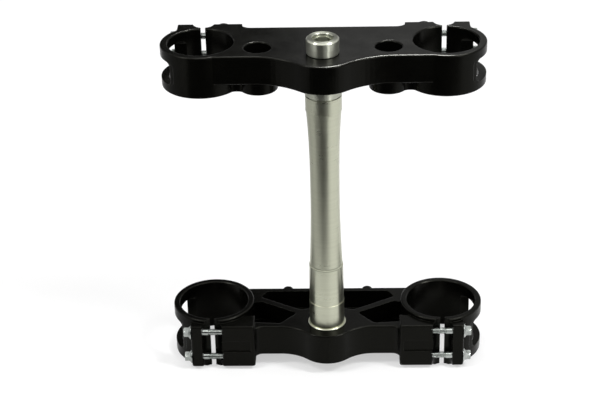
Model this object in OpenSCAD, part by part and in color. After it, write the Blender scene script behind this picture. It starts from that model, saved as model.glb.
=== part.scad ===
// Motorcycle triple clamp: top clamp, bottom clamp and steering stem, with their pinch bolts.
// Millimetres. Origin on the steering axis at the crown race seat; z up along the stem,
// y forward to the fork tubes, x to the right as seen from the rider's side.

/* [Fork and steering geometry] */
// distance between the two fork tube axes
fork_span = 200; // [190:1:212]
// fork tube axes ahead of the steering axis
fork_offset = 24; // [22:0.5:26]
// top face of the top clamp above the crown race seat
clamp_rise = 254; // [235:1:275]

/* [Top clamp] */
// upper fork tube diameter
top_bore_d = 54; // [50:0.5:55]
// wall of the upper fork ring
top_wall = 6.3; // [5.5:0.1:7]
// height of the upper fork ring
top_ring_h = 36; // [34:0.5:40]
// thickness of the web between the rings
top_web_t = 24.5; // [22:0.5:26]
// radius of the round nose at the steering axis
top_nose_r = 29.3; // [27:0.1:31]
// rider side face of the web, from the steering axis
top_web_front = -7.3; // [-8:0.1:-6]
// forward face of the web
top_web_back = 53; // [50:0.5:54]
// large hollow radius between nose and web
top_sweep_r = 60; // [45:1:70]
// half distance between the handlebar mount holes
bar_half_span = 53; // [50:0.5:55]
// handlebar mount holes ahead of the steering axis
bar_y = 11.6; // [8:0.1:14]
// handlebar mount hole diameter
bar_hole_d = 22; // [18:0.5:23]
// outside diameter of the boss under each handlebar mount hole
bar_boss_d = 32; // [30:0.5:33]
// height of the pinch ears of the top clamp
top_ear_h = 33.4; // [32:0.2:34]
// distance between the two bolts of one top ring
top_bolt_pitch = 16; // [15:0.5:18]

/* [Bottom clamp] */
// lower fork tube diameter
low_bore_d = 60; // [57:0.5:61]
// wall of the lower fork ring
low_wall = 5.4; // [5:0.1:6]
// height of the lower fork ring
low_ring_h = 47; // [45:0.5:50]
// how far the lower rings stand above the web
low_ring_rise = 7.5; // [6:0.5:9]
// thickness of the lower web
low_web_t = 28.5; // [26:0.5:30]
// radius of the round nose round the pressed stem
low_nose_r = 25.3; // [24:0.1:27]
// rider side face of the lower web
low_web_front = -9.3; // [-10:0.1:-8.5]
// forward face of the lower web
low_web_back = 54.7; // [52:0.1:56]
// hollow radius between nose and lower web
low_sweep_r = 34; // [28:1:38]
// height of the pinch ears of the bottom clamp
low_ear_h = 41; // [39:0.5:42]
// distance between the two bolts of one lower ring
low_bolt_pitch = 25; // [23:0.5:26]
// depth of the pockets in the lower web
pocket_depth = 18; // [10:0.5:20]
// wall left between a pocket and the faces of the web
pocket_wall = 5.5; // [5:0.1:6.5]

/* [Steering stem] */
// bearing seat diameter, both ends
seat_d = 30; // [28:0.5:31]
// diameter at the waist
waist_d = 24.6; // [24:0.1:26]
// height of the lower bearing seat
low_seat_h = 22; // [18:0.5:25]
// height of the upper bearing seat
up_seat_h = 14; // [12:0.5:16]
// journal inside the top clamp
top_journal_d = 22; // [20:0.5:23]
// pressed journal in the bottom clamp, also the polished collar
press_d = 32.6; // [32:0.1:34]
// bore through the stem
stem_bore_d = 18; // [15:0.5:18.5]

/* [Stem bolt and spacer] */
// head diameter of the stem bolt
head_d = 26.8; // [26:0.1:28]
// head height of the stem bolt
head_h = 13.2; // [11:0.1:15]
// round mouth over the hexagon socket
mouth_d = 17.6; // [16.8:0.1:18.4]
// hexagon socket across flats
socket_af = 14; // [12:1:14]
// spacer height under the top clamp
spacer_h = 12; // [10:0.5:14]
// spacer outside diameter
spacer_d = 30.4; // [29:0.1:32]

/* [Pinch bolts] */
// thread diameter
bolt_d = 6; // [5:1:6]
// length under the flange
bolt_len = 35; // [32:1:36]
// length of the threaded end
thread_len = 20; // [18:1:22]
// flange diameter
flange_d = 13; // [12:0.2:14]
// hexagon across flats
hex_af = 8; // [8:1:10]
// head height with the flange
bolt_head_h = 6.6; // [5.5:0.1:7]

/* [Slots, windows and edges] */
// width of the clamping slot
slot_w = 3.8; // [3:0.1:4.5]
// radius of the upright scallop in front of each slot
scallop_r = 9; // [8:0.1:9.5]
// rounding of the outside edges
edge_r = 1.2; // [0.8:0.1:1.5]
// chamfer of the fork bores
bore_chamfer = 0.8; // [0.5:0.1:1]
// height of the window in each top ring
top_window_h = 20; // [16:0.5:21]
// height of the window in each lower ring
low_window_h = 27; // [23:0.5:28]

/* [Hidden] */

$fn = 96;
fork_x = fork_span / 2;

// clearances of the fits
journal_gap = 0.05;
bolt_gap = 0.3;
thread_gap = 0.05;
spacer_gap = 0.1;

// heights, all from the crown race seat
collar_h = 1.2;
low_web_top = -collar_h;
low_web_bot = low_web_top - low_web_t;
low_ring_top = low_web_top + low_ring_rise;
low_ring_bot = low_ring_top - low_ring_h;
low_mid = (low_ring_top + low_ring_bot) / 2;
low_ear_bot = low_mid - low_ear_h / 2;
low_ear_top = low_mid + low_ear_h / 2;
top_face = clamp_rise;
top_ring_bot = top_face - top_ring_h;
top_web_bot = top_face - top_web_t;
top_ear_bot = top_face - top_ear_h;
top_mid = (top_face + top_ear_bot) / 2;
shoulder_z = top_web_bot - spacer_h;

// radii
top_r = top_bore_d / 2;
top_ring_r = top_r + top_wall;
low_r = low_bore_d / 2;
low_ring_r = low_r + low_wall;
boss_r = bar_boss_d / 2;

// bolt axis off the bore wall, ear face off the bolt axis
bolt_off = bolt_d / 2 + 2.3;
ear_off = bolt_d / 2 + 2;
top_bolt_y = fork_offset + top_r + bolt_off;
top_ear_y = top_bolt_y + ear_off;
low_bolt_y = fork_offset - low_r - bolt_off;
low_ear_y = low_bolt_y - ear_off;

// outer and inner ends of the ears, from the fork axis
top_ear_out = 21.3;
top_ear_in = 32.5;
low_ear_out = 18.5;
low_ear_in = 37;
spot_depth = 0.4;
spot_r = flange_d / 2 + 0.7;
scallop_sink = 0.8;

// windows through the outer side of the rings
window_y0 = fork_offset - 25.7;
window_y1 = fork_offset + 23.2;
window_r = 4;
top_window_z = top_face - 18.3;

function unit(v) = v / norm(v);

// points on an arc, both ends included
function arc(cx, cy, r, a0, a1, n) =
    [for (i = [0:n]) let (a = a0 + (a1 - a0) * i / n) [cx + r * cos(a), cy + r * sin(a)]];

// the other half of a symmetrical outline, walked back to its start
function other_half(p) = [for (i = [len(p) - 1:-1:0]) if (abs(p[i][0]) > 0.01) [-p[i][0], p[i][1]]];

// the outline moved inward by d, every edge kept parallel
function inset(p, d) = let (n = len(p)) [for (i = [0:n - 1])
    let (u = unit(p[i] - p[(i + n - 1) % n]), v = unit(p[(i + 1) % n] - p[i]),
        a = [-u[1], u[0]], b = [-v[1], v[0]])
    p[i] + d * (a + b) / (1 + a * b)];

// levels of a rounded edge: height from the face, inset from the side
function edge_levels(r, n) = [for (i = [0:n]) [r * (1 - cos(90 * i / n)), r * (1 - sin(90 * i / n))]];

// triangles that fill a flat outline: its first nf points run left to right along the rider's side,
// the rest run back along the other side, and both sides only ever move on in x
function fill(p, nf, i = 0, j = 0, out = []) = let (n = len(p), nr = n - nf)
    i == nf - 1 && j == nr - 1 ? out :
    j == nr - 1 || (i < nf - 1 && p[i + 1][0] <= p[n - 2 - j][0])
        ? fill(p, nf, i + 1, j, concat(out, [[i, i + 1, n - 1 - j]]))
        : fill(p, nf, i, j + 1, concat(out, [[i, n - 2 - j, n - 1 - j]]));

// a plate with a free outline and rounded top and bottom edges; near is its rider side from left
// to right, far its forward side from right to left
module rounded_slab(near, far, z0, z1, r = edge_r, steps = 3) {
    p = concat(near, far);
    n = len(p);
    e = edge_levels(r, steps);
    low = [for (k = [0:steps]) [z0 + e[k][0], e[k][1]]];
    high = [for (k = [steps:-1:0]) [z1 - e[k][0], e[k][1]]];
    levels = concat(low, high);
    pts = [for (l = levels) for (q = inset(p, l[1])) [q[0], q[1], l[0]]];
    sides = [for (k = [0:len(levels) - 2]) for (i = [0:n - 1])
        [k * n + i, (k + 1) * n + i, (k + 1) * n + (i + 1) % n, k * n + (i + 1) % n]];
    bottom = fill(p, len(near));
    last = (len(levels) - 1) * n;
    top = [for (t = bottom) [last + t[2], last + t[1], last + t[0]]];
    polyhedron(points = pts, faces = concat(sides, bottom, top), convexity = 8);
}

// a solid round disc with the same rounded outer edges, as exact cones
module round_disc(r, z0, z1, edge = edge_r, steps = 3) {
    e = edge_levels(edge, steps);
    low = [for (k = [0:steps]) [r - e[k][1], z0 + e[k][0]]];
    high = [for (k = [steps:-1:0]) [r - e[k][1], z1 - e[k][0]]];
    rotate_extrude() polygon(concat([[0, z0]], low, high, [[0, z1]]));
}

// a through bore with a chamfer at both mouths
module chamfered_bore(r, z0, z1, c = bore_chamfer) {
    over = 1;
    translate([0, 0, z0 - over]) cylinder(r = r, h = z1 - z0 + 2 * over);
    translate([0, 0, z0 - over]) cylinder(r1 = r + c + over, r2 = r, h = c + over);
    translate([0, 0, z1 - c]) cylinder(r1 = r, r2 = r + c + over, h = c + over);
}

// rider side of a web, right hand: nose, hollow sweep, straight run
function web_front(nose, sweep, y, end_x) =
    let (fx = sqrt((nose + sweep) * (nose + sweep) - (sweep - y) * (sweep - y)),
        fy = y - sweep, dir = atan2(fy, fx), step = (90 + dir) / 10)
    concat(arc(0, 0, nose, -90, dir, 8), arc(fx, fy, sweep, 180 + dir - step, 90, 9), [[end_x, y]]);

// centre of the circle of radius r that touches two circles from outside, on the rider's side
function touching(c1, r1, c2, r2, r) =
    let (d = norm(c2 - c1), u = (c2 - c1) / d,
        a = ((r1 + r) * (r1 + r) - (r2 + r) * (r2 + r) + d * d) / (2 * d),
        h = sqrt((r1 + r) * (r1 + r) - a * a))
    c1 + a * u + h * [u[1], -u[0]];

// mirrored pair about the steering axis
module both_sides() {
    children();
    mirror([1, 0, 0]) children();
}

// slot, scallop and bolt holes of the right hand ears; way is 1 forward, -1 to the rider
module pinch_cuts(way, bolt_y, ear_y, zs, out, z0, z1) {
    reach = 40;
    seat_x = fork_x + out - spot_depth;
    tap_depth = 22;
    tip = 1.6;
    slot_y = way > 0 ? fork_offset : fork_offset - reach;
    // clamping slot
    translate([fork_x - slot_w / 2, slot_y, z0 - 1]) cube([slot_w, reach, z1 - z0 + 2]);
    // scallop that bares the bolts
    translate([fork_x, ear_y + way * scallop_sink, z0 - 1]) cylinder(r = scallop_r, h = z1 - z0 + 2);
    for (z = zs) {
        // clearance hole in the outer ear
        translate([fork_x, bolt_y, z]) rotate([0, 90, 0]) cylinder(r = bolt_d / 2 + bolt_gap, h = out + 5);
        // tapped blind hole in the inner ear
        translate([fork_x - tap_depth, bolt_y, z]) rotate([0, 90, 0])
            cylinder(r = bolt_d / 2 + thread_gap, h = tap_depth);
        translate([fork_x - tap_depth - tip, bolt_y, z]) rotate([0, 90, 0])
            cylinder(r1 = 0.2, r2 = bolt_d / 2 + thread_gap, h = tip);
        // spot face for the flange
        translate([seat_x, bolt_y, z]) rotate([0, 90, 0]) cylinder(r = spot_r, h = 14);
    }
}

// window through the outer side of the right hand ring
module ring_window(z, h) {
    from_x = fork_x + 8;
    len_x = 34;
    for (y = [window_y0 + window_r, window_y1 - window_r])
        for (s = [-1, 1])
            translate([from_x, y, z + s * (h / 2 - window_r)]) rotate([0, 90, 0])
                cylinder(r = window_r, h = len_x, $fn = 48);
    translate([from_x, window_y0, z - h / 2 + window_r])
        cube([len_x, window_y1 - window_y0, h - 2 * window_r]);
    translate([from_x, window_y0 + window_r, z - h / 2])
        cube([len_x, window_y1 - window_y0 - 2 * window_r, h]);
}

// a half round lug on a forward face, walked right to left
function lug(x, y, r, sink, n) = arc(x, y - sink, r, asin(sink / r), 180 - asin(sink / r), n);

// sides of the top clamp's web, ear fillets included
function top_web_near() = let (half = web_front(top_nose_r, top_sweep_r, top_web_front, fork_x - 5))
    concat(other_half(half), half);
function top_web_far() =
    let (end_x = fork_x - 5, ear_x = fork_x - top_ear_in, f = 8.5, bite = 1,
        fillet = arc(ear_x - f + bite, top_web_back + f, f, -25, -90, 6),
        half = concat([[end_x, fillet[0][1]], [ear_x + 3, fillet[0][1]]], fillet, [[0, top_web_back]]))
    concat(half, other_half(half));

// one top ear pair with its half round lug: the common part of its plan and its end view
module top_ear() {
    x0 = fork_x - top_ear_in;
    x1 = fork_x + top_ear_out;
    y0 = fork_offset + 20;
    corner_r = 2.5;
    lug_x = fork_x - 16.5;
    lug_r = 4.2;
    past = 6;
    low = [for (l = edge_levels(edge_r, 3)) [top_ear_y - l[1], top_ear_bot + l[0]]];
    high = [for (l = edge_levels(edge_r, 3)) [top_ear_y - l[1], top_face - l[0]]];
    intersection() {
        translate([0, 0, top_ear_bot - 1]) linear_extrude(top_ear_h + 2)
            polygon(concat([[x0, y0], [x1, y0]], arc(x1 - corner_r, top_ear_y - corner_r, corner_r, 0, 90, 4),
                lug(lug_x, top_ear_y, lug_r, 0.3, 10),
                arc(x0 + corner_r, top_ear_y - corner_r, corner_r, 90, 180, 4)));
        translate([x0 - 1, 0, 0]) rotate([90, 0, 90]) linear_extrude(x1 - x0 + 2)
            polygon(concat([[y0 - 1, top_ear_bot]], low, [[top_ear_y + past, top_ear_bot + edge_r],
                [top_ear_y + past, top_face - edge_r]], [for (k = [3:-1:0]) high[k]], [[y0 - 1, top_face]]));
    }
}

// bridge between handlebar boss and ring, with a hollow rider side face
module boss_bridge() {
    hollow = 9;
    short = 16;
    lift = 1;
    c = touching([bar_half_span, bar_y], boss_r, [fork_x, fork_offset], top_ring_r, hollow);
    a0 = atan2(bar_y - c[1], bar_half_span - c[0]) - short;
    a1 = atan2(fork_offset - c[1], fork_x - c[0]) + short;
    translate([0, 0, top_ring_bot + lift]) linear_extrude(top_web_bot + 5 - top_ring_bot)
        polygon(concat(arc(c[0], c[1], hollow, a0, a1, 8),
            [[fork_x - top_r - 2.5, fork_offset], [bar_half_span + 3, fork_offset]]));
}

module top_clamp() {
    zs = [top_mid - top_bolt_pitch / 2, top_mid + top_bolt_pitch / 2];
    color([0.09, 0.09, 0.085]) difference() {
        union() {
            rounded_slab(top_web_near(), top_web_far(), top_web_bot, top_face);
            both_sides() {
                translate([fork_x, fork_offset, 0]) round_disc(top_ring_r, top_ring_bot, top_face);
                translate([bar_half_span, bar_y, 0]) round_disc(boss_r, top_ring_bot, top_face - 4);
                top_ear();
                boss_bridge();
            }
        }
        both_sides() {
            translate([fork_x, fork_offset, 0]) chamfered_bore(top_r, top_ring_bot, top_face);
            translate([bar_half_span, bar_y, 0]) chamfered_bore(bar_hole_d / 2, top_ring_bot, top_face);
            pinch_cuts(1, top_bolt_y, top_ear_y, zs, top_ear_out, top_ring_bot, top_face);
            ring_window(top_window_z, top_window_h);
        }
        chamfered_bore(top_journal_d / 2 + journal_gap, top_web_bot, top_face, 0.5);
    }
}

// sides of the bottom clamp's web, ear fillets and forward lugs included
function low_web_near() =
    let (ear_x = fork_x - low_ear_in, f = 7, bite = 0.2,
        fillet = arc(ear_x - f + bite, low_web_front - f, f, 90, 15, 5),
        half = concat(web_front(low_nose_r, low_sweep_r, low_web_front, ear_x - f - 1), fillet,
            [[fork_x - 5, fillet[5][1]]]))
    concat(other_half(half), half);
function low_web_far() =
    let (lug_x = 35.5, lug_r = 4.5,
        half = concat([[fork_x - 5, low_web_back]], lug(lug_x, low_web_back, lug_r, 0.6, 10),
            [[0, low_web_back]]))
    concat(half, other_half(half));

// sides of one bottom ear pair
low_ear_round = 2.2;
function low_ear_near() =
    let (x0 = fork_x - low_ear_in, x1 = fork_x + low_ear_out, c = low_ear_round)
    concat(arc(x0 + c, low_ear_y + c, c, 180, 270, 4), arc(x1 - c, low_ear_y + c, c, 270, 360, 4));
function low_ear_far() = let (y1 = 2.5) [[fork_x + low_ear_out, y1], [fork_x - low_ear_in, y1]];

// corner rounding of a polygon: each row is x, y, radius, walked anticlockwise
function rounded_polygon(q, n = 5) = let (m = len(q)) [for (i = [0:m - 1])
    let (b = [q[i][0], q[i][1]], r = q[i][2],
        u = unit([q[(i + m - 1) % m][0], q[(i + m - 1) % m][1]] - b),
        v = unit([q[(i + 1) % m][0], q[(i + 1) % m][1]] - b),
        half = acos(u * v) / 2, mid = unit(u + v), c = b + mid * r / sin(half),
        s = c - u * (u * (c - b)) - b, t = c - v * (v * (c - b)) - b,
        a0 = atan2(-s[1], -s[0]), a1 = atan2(-t[1], -t[0]),
        turn = a1 - a0 > 180 ? a1 - a0 - 360 : (a1 - a0 < -180 ? a1 - a0 + 360 : a1 - a0))
    for (k = [0:n]) [c[0] + r * cos(a0 + turn * k / n), c[1] + r * sin(a0 + turn * k / n)]];

// rider side pocket of the lower web, right hand, running under the ring wall
function near_pocket() = let (y0 = low_web_front + pocket_wall)
    rounded_polygon([[41, y0, 3.5], [66, y0 + 2.4, 2], [78, 8, 4], [78, 28, 4],
    [58.5, 32, 4], [26.5, 13.2, 3]]);

// forward pocket of the lower web, right hand
function far_pocket() = let (y1 = low_web_back - pocket_wall)
    rounded_polygon([[6, 25.6, 3], [22.5, 17.4, 6], [59.5, 39.6, 3], [54, y1, 4], [6, y1, 3]]);

module low_pockets() {
    for (p = [near_pocket(), far_pocket()])
        translate([0, 0, low_web_top - pocket_depth]) linear_extrude(pocket_depth + 1) polygon(p);
}

// shallow channel with soft lips between the two bolt lobes of the right hand inner ear
module lobe_channel() {
    lobe_h = 15;
    sink = 1.6;
    lip = 2.6;
    strip = 3.5;
    half = (low_bolt_pitch - lobe_h) / 2;
    edge = [for (i = [0:4]) let (a = 25 + 65 * i / 4)
        [low_ear_y + sink - lip * cos(a), half + lip * (1 - sin(a))]];
    x0 = fork_x - low_ear_in + strip;
    translate([x0, 0, low_mid]) rotate([90, 0, 90]) linear_extrude(fork_x - scallop_r + 2 - x0)
        polygon(concat(edge, [for (i = [4:-1:0]) [edge[i][0], -edge[i][1]]]));
}

module bottom_clamp() {
    zs = [low_mid - low_bolt_pitch / 2, low_mid + low_bolt_pitch / 2];
    color([0.1, 0.1, 0.09]) difference() {
        union() {
            difference() {
                rounded_slab(low_web_near(), low_web_far(), low_web_bot, low_web_top);
                both_sides() low_pockets();
            }
            both_sides() {
                translate([fork_x, fork_offset, 0]) round_disc(low_ring_r, low_ring_bot, low_ring_top);
                rounded_slab(low_ear_near(), low_ear_far(), low_ear_bot, low_ear_top);
            }
        }
        both_sides() {
            translate([fork_x, fork_offset, 0]) chamfered_bore(low_r, low_ring_bot, low_ring_top);
            pinch_cuts(-1, low_bolt_y, low_ear_y, zs, low_ear_out, low_ring_bot, low_ring_top);
            ring_window(low_mid, low_window_h);
            lobe_channel();
        }
        translate([0, 0, low_web_bot - 1]) cylinder(r = press_d / 2, h = low_web_t + 2);
    }
}

// radius of the stem between its seats: a slim waist that swells to each end
mid_z = 124;
relief_z = 58;
function waist_r(z) = z < mid_z
    ? waist_d / 2 + 1.8 * pow((mid_z - z) / (mid_z - relief_z), 2)
    : waist_d / 2 + 2.3 * pow((z - mid_z) / (shoulder_z - up_seat_h - mid_z), 3);

module steering_stem() {
    foot_h = 3;
    foot_r = press_d / 2 + 1.7;
    seat_r = seat_d / 2;
    neck_r = top_journal_d / 2 + 1.5;
    thread_r = 8;
    thread_h = 32;
    top_end = top_face - 2;
    seat_z = shoulder_z - up_seat_h;
    bore_r = stem_bore_d / 2;
    body = [for (i = [0:10]) let (z = relief_z + (seat_z - relief_z) * i / 10) [waist_r(z), z]];
    outside = concat([[bore_r + 0.8, low_web_bot - foot_h], [foot_r - 0.6, low_web_bot - foot_h],
        [foot_r, low_web_bot - foot_h + 0.6], [foot_r, low_web_bot],
        [press_d / 2, low_web_bot], [press_d / 2, -0.4], [press_d / 2 - 0.4, 0], [seat_r, 0],
        [seat_r, low_seat_h], [seat_r - 0.3, low_seat_h], [seat_r - 0.3, low_seat_h + 0.8],
        [seat_r - 0.1, low_seat_h + 0.8], [seat_r - 0.5, relief_z - 0.4], [seat_r - 0.9, relief_z]],
        body, [[seat_r, seat_z + 0.4], [seat_r, shoulder_z - 0.4], [seat_r - 0.4, shoulder_z],
        [neck_r, shoulder_z], [neck_r, top_web_bot - 0.2], [top_journal_d / 2, top_web_bot - 0.2],
        [top_journal_d / 2, top_end - 0.6], [top_journal_d / 2 - 0.6, top_end]]);
    inside = [[thread_r + 0.6, top_end], [thread_r, top_end - 0.6], [thread_r, top_end - thread_h],
        [bore_r, top_end - thread_h - 1], [bore_r, low_web_bot - foot_h + 0.8]];
    color([0.72, 0.72, 0.68]) rotate_extrude() polygon(concat(outside, inside));
}

module stem_bolt() {
    shank_r = 8 - thread_gap;
    shank_l = 24;
    through_r = 5;
    socket_depth = 9.5;
    c = 1.2;
    r = head_d / 2;
    color([0.78, 0.78, 0.75]) difference() {
        rotate_extrude() polygon([[0, top_face - shank_l], [shank_r - 1, top_face - shank_l],
            [shank_r, top_face - shank_l + 1], [shank_r, top_face], [r - 0.6, top_face],
            [r, top_face + 0.6], [r, top_face + head_h - c], [r - c, top_face + head_h],
            [0, top_face + head_h]]);
        translate([0, 0, top_face - shank_l - 1]) cylinder(r = through_r, h = shank_l + head_h + 2);
        translate([0, 0, top_face + head_h - socket_depth])
            cylinder(r = socket_af / 2 / cos(30), h = socket_depth + 1, $fn = 6);
        // round mouth, then its chamfer
        translate([0, 0, top_face + head_h - 3]) cylinder(r = mouth_d / 2 - 0.2, h = 4);
        translate([0, 0, top_face + head_h - 0.5])
            cylinder(r1 = mouth_d / 2 - 0.2, r2 = mouth_d / 2 + 0.7, h = 0.9);
    }
}

module top_spacer() {
    c = 0.8;
    r = spacer_d / 2;
    hole = top_journal_d / 2 + 1.5 + spacer_gap;
    color([0.7, 0.7, 0.67]) rotate_extrude() polygon([[hole, shoulder_z], [r - c, shoulder_z],
        [r, shoulder_z + c], [r, top_web_bot - 0.4], [r - 0.4, top_web_bot], [hole, top_web_bot]]);
}

// flanged hexagon bolt along -x from its seat, the seat at the origin
module pinch_bolt() {
    r = bolt_d / 2;
    flange_t = 1.2;
    hex_r = hex_af / 2 / cos(30);
    neck = 0.35;
    color([0.8, 0.8, 0.78]) union() {
        rotate([0, -90, 0]) rotate_extrude() polygon([[0, -flange_t - 1.6], [hex_af / 2 + 0.2, -flange_t - 1.6],
            [hex_af / 2 + 1.2, -flange_t - 0.5], [flange_d / 2 - 0.2, -flange_t + 0.5],
            [flange_d / 2, -0.6], [flange_d / 2 - 0.2, 0], [r, 0], [r, bolt_len - thread_len],
            [r - neck, bolt_len - thread_len + neck], [r - neck, bolt_len - thread_len + 1.2],
            [r, bolt_len - thread_len + 1.2 + neck], [r, bolt_len - 0.8], [r - 0.8, bolt_len], [0, bolt_len]]);
        intersection() {
            rotate([0, 90, 0]) rotate([0, 0, 30]) translate([0, 0, flange_t])
                cylinder(r = hex_r, h = bolt_head_h - flange_t, $fn = 6);
            // turned chamfer on the corners of the hexagon
            rotate([0, 90, 0]) cylinder(r1 = hex_r + bolt_head_h * 0.9, r2 = hex_af / 2 - 0.1, h = bolt_head_h);
        }
    }
}

// place of one pinch bolt: side is 1 right or -1 left
module top_bolt(side, way) {
    mirror([side < 0 ? 1 : 0, 0, 0])
        translate([fork_x + top_ear_out - spot_depth, top_bolt_y, top_mid + way * top_bolt_pitch / 2])
            pinch_bolt();
}

module low_bolt(side, way) {
    mirror([side < 0 ? 1 : 0, 0, 0])
        translate([fork_x + low_ear_out - spot_depth, low_bolt_y, low_mid + way * low_bolt_pitch / 2])
            pinch_bolt();
}

top_clamp();
bottom_clamp();
steering_stem();
stem_bolt();
top_spacer();
top_bolt(-1, 1);  // top_bolt_left_upper
top_bolt(-1, -1);  // top_bolt_left_lower
top_bolt(1, 1);  // top_bolt_right_upper
top_bolt(1, -1);  // top_bolt_right_lower
low_bolt(-1, 1);  // low_bolt_left_upper
low_bolt(-1, -1);  // low_bolt_left_lower
low_bolt(1, 1);  // low_bolt_right_upper
low_bolt(1, -1);  // low_bolt_right_lower
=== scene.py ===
import math

import bmesh
import bpy
from mathutils import Matrix, Vector


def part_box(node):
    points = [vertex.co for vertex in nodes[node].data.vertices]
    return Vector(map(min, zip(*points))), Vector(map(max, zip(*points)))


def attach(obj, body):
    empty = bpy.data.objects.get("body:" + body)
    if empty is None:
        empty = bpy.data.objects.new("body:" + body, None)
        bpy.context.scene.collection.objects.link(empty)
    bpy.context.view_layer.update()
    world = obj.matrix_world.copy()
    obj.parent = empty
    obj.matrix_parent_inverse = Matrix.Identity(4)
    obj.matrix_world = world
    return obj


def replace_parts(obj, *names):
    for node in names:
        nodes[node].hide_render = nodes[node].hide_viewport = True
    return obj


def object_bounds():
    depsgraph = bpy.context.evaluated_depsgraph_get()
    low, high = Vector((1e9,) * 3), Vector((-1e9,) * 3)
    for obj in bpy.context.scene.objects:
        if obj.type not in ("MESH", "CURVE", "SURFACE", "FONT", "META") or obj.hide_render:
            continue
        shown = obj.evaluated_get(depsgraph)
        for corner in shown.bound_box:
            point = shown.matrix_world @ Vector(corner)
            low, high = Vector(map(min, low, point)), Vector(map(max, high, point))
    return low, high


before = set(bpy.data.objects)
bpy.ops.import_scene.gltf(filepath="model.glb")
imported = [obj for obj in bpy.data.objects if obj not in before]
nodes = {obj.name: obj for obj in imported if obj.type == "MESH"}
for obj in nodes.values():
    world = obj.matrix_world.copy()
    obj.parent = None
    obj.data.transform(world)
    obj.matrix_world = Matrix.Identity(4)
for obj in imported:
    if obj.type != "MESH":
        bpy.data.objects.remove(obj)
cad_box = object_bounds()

mm = 0.001

# camera, fitted to the rims of the bores in the photograph: degrees, metres, and a lens in mm
camera_heading = 1.933
camera_pitch = 28.803
camera_roll = -1.414
camera_reach = 1.25217
camera_height = 0.80782
camera_aside = -0.021096
camera_lens = 102.16
camera_sensor = 36.0

# pinch bolts
head_height = 6.6 * mm
head_chamfer = 0.7 * mm
head_dish = 0.35 * mm
hex_flat = 4.0 * mm
flange_radius = 6.5 * mm
flange_height = 1.2 * mm
flange_edge = 0.25 * mm
shank_radius = 3.0 * mm
plain_length = 15.0 * mm
thread_pitch = 1.0 * mm
thread_depth = 0.55 * mm
thread_gap = 0.02 * mm
thread_runout = 1.2
round_steps = 36

# fork rings and their windows
fork_aside = 100.0 * mm
fork_ahead = 24.0 * mm
window_start = -1.7 * mm
window_corner = 4.0 * mm
corner_steps = 8
wall_steps = 6
seam = 0.05 * mm
window_overlap = 4 * seam

# levels on the stem
seat_level = 22.0 * mm
relief_level = 58.0 * mm

# an edge that turns more than this stays sharp
sharp_turn = math.radians(35)

# sockets of a Mix node that mixes colours
mix_amount, mix_first, mix_second, mix_result = 0, 6, 7, 2

bevel_samples = 6
white = (1, 1, 1, 1)


def grey(shade):
    return (shade, shade, shade, 1)


def surface_nodes(name):
    """A new material with its node tree and its Principled shader."""
    material = bpy.data.materials.new(name)
    material.use_nodes = True
    tree = material.node_tree
    return material, tree, tree.nodes["Principled BSDF"]


def group(name, inputs, outputs):
    """A shader node group with float inputs (name, default) and float outputs (name)."""
    tree = bpy.data.node_groups.new(name, "ShaderNodeTree")
    for label, default in inputs:
        socket = tree.interface.new_socket(label, in_out="INPUT", socket_type="NodeSocketFloat")
        socket.default_value = default
    for label in outputs:
        tree.interface.new_socket(label, in_out="OUTPUT", socket_type="NodeSocketFloat")
    return tree, tree.nodes.new("NodeGroupInput"), tree.nodes.new("NodeGroupOutput")


def place(tree, group_tree, **values):
    """The group as a node of the tree, with its own values."""
    node = tree.nodes.new("ShaderNodeGroup")
    node.node_tree = group_tree
    for label, value in values.items():
        node.inputs[label.replace("_", " ").title()].default_value = value
    return node


def feed(tree, value, socket):
    """Gives a socket its value, which is a constant or another socket."""
    if isinstance(value, (int, float, tuple)):
        socket.default_value = value
    else:
        tree.links.new(value, socket)


def maths(tree, operation, *values):
    """A Math node: each value is a number or a socket."""
    node = tree.nodes.new("ShaderNodeMath")
    node.operation = operation
    for socket, value in zip(node.inputs, values):
        feed(tree, value, socket)
    return node.outputs[0]


def blend_colours(tree, amount, first, second):
    """A colour mix from the first to the second colour."""
    node = tree.nodes.new("ShaderNodeMix")
    node.data_type = "RGBA"
    tree.links.new(amount, node.inputs[mix_amount])
    feed(tree, first, node.inputs[mix_first])
    feed(tree, second, node.inputs[mix_second])
    return node.outputs[mix_result]


def frame_position(tree):
    """The place on the object, in metres."""
    return tree.nodes.new("ShaderNodeTexCoord").outputs["Object"]


def noise(tree, position, scale, detail, roughness=0.55):
    """Cloudy noise over the surface."""
    node = tree.nodes.new("ShaderNodeTexNoise")
    node.inputs["Detail"].default_value = detail
    node.inputs["Roughness"].default_value = roughness
    feed(tree, scale, node.inputs["Scale"])
    tree.links.new(position, node.inputs["Vector"])
    return node.outputs["Fac"]


def stretch(tree, value, low, high, to_low=0.0, to_high=1.0):
    """The value, with the span from low to high spread over the new span."""
    node = tree.nodes.new("ShaderNodeMapRange")
    node.inputs["From Min"].default_value = low
    node.inputs["From Max"].default_value = high
    node.inputs["To Min"].default_value = to_low
    node.inputs["To Max"].default_value = to_high
    tree.links.new(value, node.inputs["Value"])
    return node.outputs["Result"]


def height_on_object(tree):
    """The height on the object, in metres."""
    split = tree.nodes.new("ShaderNodeSeparateXYZ")
    tree.links.new(frame_position(tree), split.inputs[0])
    return split.outputs["Z"]


def softened_normal(tree):
    """A Bevel node, which rounds the normal near edges."""
    node = tree.nodes.new("ShaderNodeBevel")
    node.samples = bevel_samples
    return node


def make_blasted_grain():
    """The fine pitting of a blasted surface, with slow cloudy change over it."""
    tree, given, result = group("blasted grain", [("Grain Scale", 2600.0), ("Cloud Scale", 34.0)],
                                ["Height", "Cloud"])
    position = frame_position(tree)
    fine = noise(tree, position, given.outputs["Grain Scale"], 2.0)
    cloud = noise(tree, position, given.outputs["Cloud Scale"], 4.0)
    tree.links.new(fine, result.inputs["Height"])
    tree.links.new(stretch(tree, cloud, 0.3, 0.7), result.inputs["Cloud"])
    return tree


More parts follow.
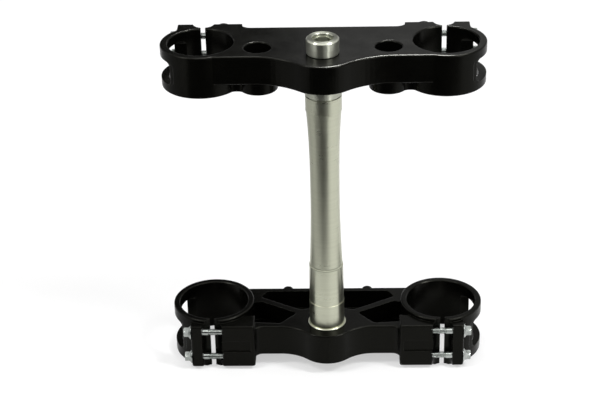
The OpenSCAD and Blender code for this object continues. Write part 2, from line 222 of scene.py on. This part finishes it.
def make_edge_wear():
    """A mask that is high on outside edges and corners, broken up as handling does it."""
    tree, given, result = group("edge wear", [("Width", 0.8 * mm), ("Amount", 1.0)], ["Mask"])
    soft = softened_normal(tree)
    tree.links.new(given.outputs["Width"], soft.inputs["Radius"])
    hard = tree.nodes.new("ShaderNodeNewGeometry")
    turn = tree.nodes.new("ShaderNodeVectorMath")
    turn.operation = "DOT_PRODUCT"
    tree.links.new(soft.outputs["Normal"], turn.inputs[0])
    tree.links.new(hard.outputs["Normal"], turn.inputs[1])
    edge = stretch(tree, turn.outputs["Value"], 0.995, 0.86)
    broken = stretch(tree, noise(tree, frame_position(tree), 260.0, 4.0, 0.7), 0.42, 0.62)
    worn = maths(tree, "MULTIPLY", maths(tree, "MULTIPLY", edge, broken), given.outputs["Amount"])
    tree.links.new(worn, result.inputs["Mask"])
    return tree


def make_turning_lines():
    """Fine rings left by a lathe tool round an upright axis."""
    tree, given, result = group("turning lines", [("Lines", 5200.0), ("Bands", 420.0)],
                                ["Height", "Band"])
    up = height_on_object(tree)
    for label, target, detail in (("Lines", "Height", 1.0), ("Bands", "Band", 3.0)):
        ring = tree.nodes.new("ShaderNodeTexNoise")
        ring.noise_dimensions = "1D"
        ring.inputs["Scale"].default_value = 1.0
        ring.inputs["Detail"].default_value = detail
        tree.links.new(maths(tree, "MULTIPLY", up, given.outputs[label]), ring.inputs["W"])
        tree.links.new(ring.outputs["Fac"], result.inputs[target])
    return tree


def make_band_at_height():
    """A narrow band round an upright axis at one height, where two diameters meet; the stem's
    painted highlight and painted shade lines lie in it.
    """
    tree, given, result = group("band at height", [("Level", 0.0), ("Width", 1.0 * mm)], ["Mask"])
    above = maths(tree, "SUBTRACT", height_on_object(tree), given.outputs["Level"])
    off = maths(tree, "ABSOLUTE", above)
    inside = maths(tree, "SUBTRACT", 1.0, maths(tree, "DIVIDE", off, given.outputs["Width"]))
    tree.links.new(stretch(tree, inside, 0.0, 0.4), result.inputs["Mask"])
    return tree


def make_handling_marks():
    """Faint smudges from handling."""
    tree, given, result = group("handling marks", [("Scale", 60.0)], ["Smudge"])
    cloud = noise(tree, frame_position(tree), given.outputs["Scale"], 6.0, 0.65)
    tree.links.new(stretch(tree, cloud, 0.35, 0.75), result.inputs["Smudge"])
    return tree


blasted_grain = make_blasted_grain()
edge_wear = make_edge_wear()
turning_lines = make_turning_lines()
band_at_height = make_band_at_height()
handling_marks = make_handling_marks()


def bump(tree, shader, height, distance, strength, edge=0.0):
    """Fine relief on the shader's normal; an edge radius rounds the sharp edges under it."""
    node = tree.nodes.new("ShaderNodeBump")
    if edge:
        soft = softened_normal(tree)
        soft.inputs["Radius"].default_value = edge
        tree.links.new(soft.outputs["Normal"], node.inputs["Normal"])
    node.inputs["Distance"].default_value = distance
    node.inputs["Strength"].default_value = strength
    tree.links.new(height, node.inputs["Height"])
    tree.links.new(node.outputs["Normal"], shader.inputs["Normal"])


def black_anodised():
    """Black dye on a fine blasted grain, lighter at the edges: partly wear, partly a painted
    highlight along them.
    """
    deep_dye = (0.0008, 0.0008, 0.0006, 1)
    thin_dye = (0.0016, 0.0016, 0.0012, 1)
    # worn_edge here is partly wear and partly a painted highlight on the edges
    worn_edge = (0.060, 0.060, 0.050, 1)
    material, tree, shader = surface_nodes("black anodised aluminium")
    grain = place(tree, blasted_grain)
    worn = place(tree, edge_wear, width=0.6 * mm, amount=0.4)
    marks = place(tree, handling_marks)
    dye = blend_colours(tree, grain.outputs["Cloud"], deep_dye, thin_dye)
    # edges lightened: partly wear, partly painted highlight
    colour = blend_colours(tree, worn.outputs["Mask"], dye, worn_edge)
    tree.links.new(colour, shader.inputs["Base Color"])
    rough = maths(tree, "MULTIPLY_ADD", marks.outputs["Smudge"], 0.08, 0.17)
    rough = maths(tree, "MULTIPLY_ADD", grain.outputs["Height"], 0.06, rough)
    tree.links.new(rough, shader.inputs["Roughness"])
    shader.inputs["Specular IOR Level"].default_value = 0.08
    shader.inputs["Specular Tint"].default_value = (1.0, 1.0, 0.86, 1)
    bump(tree, shader, grain.outputs["Height"], 0.02 * mm, 0.3, edge=0.7 * mm)
    return material


def satin_aluminium():
    """Satin turned metal, with a rougher relief band darkened by painted shade that hides the
    step's glints, and a painted highlight line over the lower seat.
    """
    dull_band = (0.43, 0.44, 0.345, 1)
    clear_band = (0.50, 0.51, 0.405, 1)
    worn_edge = (0.70, 0.71, 0.62, 1)
    # relief_painted_shade: painted shade that darkens the band over the relief step and hides its
    # glints
    relief_painted_shade = (0.34, 0.35, 0.28, 1)
    # seat_painted_highlight: a painted highlight, a bright line standing for the glints on the
    # seat's edge
    seat_painted_highlight = (0.64, 0.64, 0.53, 1)
    material, tree, shader = surface_nodes("satin turned aluminium")
    rings = place(tree, turning_lines)
    worn = place(tree, edge_wear, width=0.4 * mm, amount=0.08)
    marks = place(tree, handling_marks, scale=45.0)
    metal = blend_colours(tree, rings.outputs["Band"], dull_band, clear_band)
    colour = blend_colours(tree, worn.outputs["Mask"], metal, worn_edge)
    # the relief band is rougher, and painted shade darkens it over the step
    relief = place(tree, band_at_height, level=relief_level, width=1.6 * mm)
    colour = blend_colours(tree, relief.outputs["Mask"], colour, relief_painted_shade)
    # a painted highlight line round the lower seat
    seat = place(tree, band_at_height, level=seat_level, width=0.32 * mm)
    colour = blend_colours(tree, seat.outputs["Mask"], colour, seat_painted_highlight)
    tree.links.new(colour, shader.inputs["Base Color"])
    rough = maths(tree, "MULTIPLY_ADD", marks.outputs["Smudge"], 0.05, 0.25)
    rough = maths(tree, "MULTIPLY_ADD", rings.outputs["Band"], 0.05, rough)
    rough = maths(tree, "MULTIPLY_ADD", relief.outputs["Mask"], 0.45, rough)
    tree.links.new(rough, shader.inputs["Roughness"])
    shader.inputs["Metallic"].default_value = 1.0
    bump(tree, shader, rings.outputs["Height"], 0.004 * mm, 0.2)
    return material


def bright_turned_aluminium():
    """Bright turned metal, whose highlights are drawn out across the turning lines."""
    dull_band = (0.36, 0.37, 0.305, 1)
    clear_band = (0.46, 0.47, 0.40, 1)
    worn_edge = (0.76, 0.76, 0.71, 1)
    material, tree, shader = surface_nodes("bright turned aluminium")
    rings = place(tree, turning_lines, lines=7000.0, bands=900.0)
    worn = place(tree, edge_wear, width=0.4 * mm, amount=0.3)
    metal = blend_colours(tree, rings.outputs["Band"], dull_band, clear_band)
    colour = blend_colours(tree, worn.outputs["Mask"], metal, worn_edge)
    tree.links.new(colour, shader.inputs["Base Color"])
    rough = stretch(tree, rings.outputs["Band"], 0.2, 0.8, 0.30, 0.36)
    tree.links.new(rough, shader.inputs["Roughness"])
    shader.inputs["Metallic"].default_value = 1.0
    shader.inputs["Anisotropic"].default_value = 0.85
    shader.inputs["Anisotropic Rotation"].default_value = 0.25
    round_axis = tree.nodes.new("ShaderNodeTangent")
    round_axis.direction_type = "RADIAL"
    round_axis.axis = "Z"
    tree.links.new(round_axis.outputs["Tangent"], shader.inputs["Tangent"])
    bump(tree, shader, rings.outputs["Height"], 0.004 * mm, 0.2)
    return material


def zinc_steel():
    """Bright zinc plating with cloudy change over it."""
    dull_plating = (0.28, 0.30, 0.285, 1)
    clear_plating = (0.40, 0.42, 0.40, 1)
    worn_edge = (0.82, 0.82, 0.80, 1)
    material, tree, shader = surface_nodes("zinc plated steel")
    grain = place(tree, blasted_grain, grain_scale=1800.0, cloud_scale=160.0)
    worn = place(tree, edge_wear, width=0.25 * mm, amount=0.6)
    plating = blend_colours(tree, grain.outputs["Cloud"], dull_plating, clear_plating)
    colour = blend_colours(tree, worn.outputs["Mask"], plating, worn_edge)
    tree.links.new(colour, shader.inputs["Base Color"])
    rough = maths(tree, "MULTIPLY_ADD", grain.outputs["Cloud"], 0.10, 0.16)
    tree.links.new(rough, shader.inputs["Roughness"])
    shader.inputs["Metallic"].default_value = 1.0
    bump(tree, shader, grain.outputs["Height"], 0.01 * mm, 0.3)
    return material


anodised = black_anodised()
stem_metal = satin_aluminium()
bright_metal = bright_turned_aluminium()
plated = zinc_steel()


def dress(name, material):
    """Gives a CAD node its finish."""
    piece = nodes[name]
    piece.data.materials.clear()
    piece.data.materials.append(material)


dress("top_clamp", anodised)
dress("bottom_clamp", anodised)
dress("steering_stem", stem_metal)
dress("stem_bolt", bright_metal)
dress("top_spacer", bright_metal)


def ring_of(mesh, along, radius_at, shift=lambda step: 0.0):
    """One ring of points round the bolt's axis."""
    ring = []
    for step in range(round_steps):
        turn = 2 * math.pi * step / round_steps
        radius = radius_at(turn)
        ring.append(mesh.verts.new((along + shift(step), radius * math.cos(turn),
                                    radius * math.sin(turn))))
    return ring


def skin(mesh, rings):
    """Faces between neighbouring rings, and a fan over each end."""
    for near, far in zip(rings, rings[1:]):
        for step in range(round_steps):
            after = (step + 1) % round_steps
            mesh.faces.new((near[step], near[after], far[after], far[step]))
    for ring, order in ((rings[0], -1), (rings[-1], 1)):
        middle = mesh.verts.new((sum(v.co.x for v in ring) / round_steps, 0, 0))
        for step in range(round_steps):
            pair = (ring[step], ring[(step + 1) % round_steps])
            mesh.faces.new((middle, *pair[::order]))


def hexagon_head(mesh):
    """The hexagon with its turned top chamfer and shallow dish."""
    def hexagon(turn):
        return hex_flat / math.cos((turn + math.pi / 6) % (math.pi / 3) - math.pi / 6)

    corner = hex_flat / math.cos(math.pi / 6)
    top = -head_height
    rings = [ring_of(mesh, -flange_height, hexagon)]
    for part in (0.0, 0.35, 0.7, 1.0):
        cone = corner - (corner - hex_flat + 0.1 * mm) * part
        rings.append(ring_of(mesh, top + head_chamfer * (1 - part),
                             lambda turn, r=cone: min(hexagon(turn), r)))
    rings.append(ring_of(mesh, top, lambda turn: hex_flat - 0.5 * mm))
    rings.append(ring_of(mesh, top + head_dish, lambda turn: hex_flat - 1.1 * mm))
    skin(mesh, rings[::-1])


def threaded_shank(mesh, length):
    """Flange, plain shank and rolled thread in one turned body."""
    def climb(step):
        return thread_pitch * step / round_steps - 0.5 * thread_pitch

    profile = [
        (-flange_height - 1.6 * mm, hex_flat + 0.2 * mm),
        (-flange_height - 0.9 * mm, hex_flat + 0.7 * mm),
        (-flange_height - 0.4 * mm, hex_flat + 1.4 * mm),
        (-flange_height + 0.45 * mm, flange_radius - flange_edge),
        (-0.6 * mm, flange_radius),
        (-0.2 * mm, flange_radius),
        (0.0, flange_radius - flange_edge),
        (0.0, shank_radius),
        (plain_length - 0.4 * mm, shank_radius),
    ]
    rings = [ring_of(mesh, along, lambda turn, r=radius: r) for along, radius in profile]
    root = shank_radius - thread_depth
    crest = shank_radius - thread_gap
    one_turn = [(0.0, root), (0.2, root), (0.46, crest), (0.58, crest), (0.84, root)]
    end = length - 1.0 * mm
    turns = int((end - plain_length) / thread_pitch)
    for count in range(turns):
        for phase, radius in one_turn:
            so_far = count + phase
            fade = min(1.0, so_far / thread_runout, (turns - count - phase) / thread_runout)
            level = root + (radius - root) * fade
            rings.append(ring_of(mesh, plain_length + so_far * thread_pitch,
                                 lambda turn, r=level: r, climb))
    rings.append(ring_of(mesh, length - 0.5 * mm, lambda turn: root))
    rings.append(ring_of(mesh, length, lambda turn: root - 0.5 * mm))
    skin(mesh, rings)


def finish_piece(mesh, name, material):
    """The mesh as a piece of its own, smooth but for its sharp edges."""
    bmesh.ops.recalc_face_normals(mesh, faces=mesh.faces)
    for face in mesh.faces:
        face.smooth = True
    for edge in mesh.edges:
        edge.smooth = len(edge.link_faces) == 2 and edge.calc_face_angle() < sharp_turn
    data = bpy.data.meshes.new(name)
    mesh.to_mesh(data)
    mesh.free()
    data.materials.append(material)
    piece = bpy.data.objects.new(name, data)
    bpy.context.scene.collection.objects.link(piece)
    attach(piece, "root")
    return piece


def pinch_bolt(name):
    """A flanged hexagon bolt in the place of its CAD node."""
    low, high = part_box(name)
    side = 1 if low.x + high.x > 0 else -1
    length = high.x - low.x - head_height
    seat = (high.x if side > 0 else -low.x) - head_height
    mesh = bmesh.new()
    hexagon_head(mesh)
    threaded_shank(mesh, length)
    place_at = Matrix.Translation((side * seat, (low.y + high.y) / 2, (low.z + high.z) / 2))
    turn_over = Matrix.Rotation(math.pi if side > 0 else 0.0, 4, "Z")
    mesh.transform(place_at @ turn_over)
    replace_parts(finish_piece(mesh, name + "_threaded", plated), name)


for clamp in ("top", "low"):
    for hand in ("left", "right"):
        for level in ("upper", "lower"):
            pinch_bolt(f"{clamp}_bolt_{hand}_{level}")


def on_ring(radius, span):
    """Points (aside, ahead) on a circle round the fork tube's axis."""
    return [(math.sqrt(radius ** 2 - (y - fork_ahead) ** 2), y) for y in span]


def window_end(name, bore, wall, middle, height, fill):
    """The rider's end of the window in a fork ring, further forward than the solid has it."""
    side = 1 if name.endswith("right") else -1
    mesh = bmesh.new()
    straight = height / 2 - window_corner
    corner = [(0.0, 0.0)]
    for step in range(1, corner_steps + 1):
        turn = math.pi / 2 * step / corner_steps
        corner.append((window_corner * math.sin(turn), window_corner * (1 - math.cos(turn))))
    heights = [(middle - straight - rise, back) for rise, back in reversed(corner)]
    heights += [(middle + straight + rise, back) for rise, back in corner]
    heights[0] = (heights[0][0] - seam, heights[0][1])
    heights[-1] = (heights[-1][0] + seam, heights[-1][1])
    loops = []
    for z, back in heights:
        first = window_start + back - window_overlap
        span = [first + (fill + window_overlap) * step / wall_steps
                for step in range(wall_steps + 1)]
        inner = on_ring(bore + seam, span)
        outer = on_ring(bore + wall - seam, span)
        loops.append([mesh.verts.new((side * (fork_aside + x), y, z))
                      for x, y in inner + outer[::-1]])
    for low, high in zip(loops, loops[1:]):
        for step in range(len(low)):
            after = (step + 1) % len(low)
            mesh.faces.new((low[step], low[after], high[after], high[step]))
    last = 2 * wall_steps + 1
    for loop in (loops[0], loops[-1]):
        for step in range(wall_steps):
            mesh.faces.new((loop[step], loop[step + 1], loop[last - 1 - step], loop[last - step]))
    finish_piece(mesh, name, anodised)


for hand in ("left", "right"):
    window_end(f"top_window_end_{hand}", bore=27.0 * mm, wall=6.3 * mm, middle=235.7 * mm,
               height=20.0 * mm, fill=2.4 * mm)
    window_end(f"low_window_end_{hand}", bore=30.0 * mm, wall=5.4 * mm, middle=-17.2 * mm,
               height=27.0 * mm, fill=3.0 * mm)


def studio_floor():
    """A wide pale floor under the lower rings, near white to the camera, with a soft shadow."""
    material, tree, shader = surface_nodes("pale studio floor")
    shader.inputs["Emission Color"].default_value = white
    seen = tree.nodes.new("ShaderNodeLightPath").outputs["Is Camera Ray"]
    tree.links.new(blend_colours(tree, seen, grey(0.84), grey(0.50)), shader.inputs["Base Color"])
    away = tree.nodes.new("ShaderNodeVectorMath")
    away.operation = "LENGTH"
    tree.links.new(frame_position(tree), away.inputs[0])
    lift = stretch(tree, away.outputs["Value"], 0.7, 2.5, 0.5, 0.75)
    tree.links.new(maths(tree, "MULTIPLY", seen, lift), shader.inputs["Emission Strength"])
    shader.inputs["Roughness"].default_value = 0.9
    shader.inputs["Specular IOR Level"].default_value = 0.1
    bpy.ops.mesh.primitive_circle_add(vertices=96, radius=6.0, fill_type="NGON",
                                      location=(0, 0, cad_box[0].z - 0.05 * mm))
    floor = bpy.context.object
    floor.name = "studio_floor"
    floor.data.materials.append(material)


def card(name, at, size, turn, tilt, shade, glow=0.0):
    """A card that only reflections see, so that metal and gloss keep their contrast."""
    material, tree, shader = surface_nodes(name)
    shader.inputs["Base Color"].default_value = grey(shade)
    shader.inputs["Roughness"].default_value = 0.9
    shader.inputs["Specular IOR Level"].default_value = 0.0
    shader.inputs["Emission Color"].default_value = white
    shader.inputs["Emission Strength"].default_value = glow
    bpy.ops.mesh.primitive_plane_add(size=1.0, location=at,
                                     rotation=(math.radians(tilt), 0, math.radians(turn)))
    sheet = bpy.context.object
    sheet.name = name
    sheet.scale = (*size, 1.0)
    sheet.data.materials.append(material)
    sheet.visible_camera = False
    sheet.visible_diffuse = False
    sheet.visible_shadow = False
    sheet.visible_transmission = False


def softbox(name, at, size, watts, aim):
    """A soft lamp that points at the given place."""
    lamp = bpy.data.lights.new(name, "AREA")
    lamp.shape = "RECTANGLE"
    lamp.size, lamp.size_y = size
    lamp.energy = watts
    holder = bpy.data.objects.new(name, lamp)
    holder.location = at
    holder.rotation_mode = "QUATERNION"
    holder.rotation_quaternion = (Vector(aim) - Vector(at)).to_track_quat("-Z", "Y")
    bpy.context.scene.collection.objects.link(holder)
    return holder


def edge_softbox(name, at, size, watts, aim, pieces):
    """A softbox that draws the bright lines along the rounded edges of the given pieces alone."""
    holder = softbox(name, at, size, watts, aim)
    holder.visible_diffuse = False
    lit = bpy.data.collections.new(name + " pieces")
    for piece in pieces:
        lit.objects.link(piece)
    holder.light_linking.receiver_collection = lit


def studio_world():
    """White where the camera, gloss or glass sees it, softer as a light."""
    world = bpy.data.worlds.new("studio surround")
    bpy.context.scene.world = world
    world.use_nodes = True
    tree = world.node_tree
    surround = tree.nodes["Background"]
    surround.inputs["Color"].default_value = white
    rays = tree.nodes.new("ShaderNodeLightPath")
    mirrored = maths(tree, "MAXIMUM", rays.outputs["Is Glossy Ray"],
                     rays.outputs["Is Transmission Ray"])
    seen = maths(tree, "MAXIMUM", rays.outputs["Is Camera Ray"], mirrored)
    strength = maths(tree, "MULTIPLY_ADD", seen, 0.5, 0.5)
    tree.links.new(strength, surround.inputs["Strength"])


aim = (0, 0, 0.11)
studio_floor()
floor_level = cad_box[0].z + 1 * mm
card("front_dark_card", at=(-0.24, -0.79, floor_level), size=(0.62, 1.2),
     turn=-17, tilt=0, shade=0.03)
card("right_dark_card", at=(0.30, -0.71, floor_level + 1 * mm), size=(0.50, 0.56),
     turn=0, tilt=0, shade=0.03)
card("left_grey_card", at=(-0.62, 0.05, floor_level), size=(0.9, 0.9),
     turn=0, tilt=0, shade=0.5)
card("right_pale_card", at=(0.50, -0.22, floor_level), size=(0.75, 0.75),
     turn=25, tilt=0, shade=0.0, glow=1.15)
card("rear_dark_card", at=(-0.55, 1.0, 0.75), size=(1.0, 0.8),
     turn=0, tilt=90, shade=0.02)
card("rear_grey_card", at=(0.45, 1.0, 0.75), size=(1.0, 0.8),
     turn=0, tilt=90, shade=0.0, glow=0.52)
card("front_dark_stand", at=(-0.25, -0.86, 0.33), size=(0.78, 0.72),
     turn=-15, tilt=90, shade=0.02)
card("right_bright_stand", at=(0.55, -0.66, 0.45), size=(0.20, 0.60),
     turn=40, tilt=90, shade=0.0, glow=7.0)
card("overhead_strip", at=(0.0, -0.55, 1.30), size=(1.60, 0.25),
     turn=0, tilt=0, shade=0.0, glow=5.0)
studio_world()
softbox("key_softbox", at=(0.95, -0.40, 1.35), size=(0.30, 0.50), watts=15, aim=aim)
softbox("fill_softbox", at=(-0.95, -0.45, 1.30), size=(0.30, 0.50), watts=10, aim=aim)
softbox("back_softbox", at=(0.3, 1.0, 1.8), size=(0.9, 0.6), watts=8, aim=aim)
edge_softbox("edge_softbox", at=(0.10, 0.60, 1.25), size=(0.20, 0.42), watts=50, aim=aim,
             pieces=(nodes["top_clamp"],))


def photo_camera():
    """The camera at the photograph's viewing angle."""
    lens = bpy.data.cameras.new("photo_camera")
    lens.lens = camera_lens
    lens.sensor_width = camera_sensor
    lens.clip_start = 0.05
    lens.clip_end = 50.0
    holder = bpy.data.objects.new("photo_camera", lens)
    heading = math.radians(camera_heading)
    at = Vector((camera_aside + camera_reach * math.sin(heading),
                 -camera_reach * math.cos(heading), camera_height))
    holder.matrix_world = (Matrix.Translation(at) @ Matrix.Rotation(heading, 4, "Z")
                           @ Matrix.Rotation(math.radians(90 - camera_pitch), 4, "X")
                           @ Matrix.Rotation(math.radians(camera_roll), 4, "Z"))
    bpy.context.scene.collection.objects.link(holder)
    bpy.context.scene.camera = holder


photo_camera()
bpy.context.scene.view_settings.view_transform = "Standard"
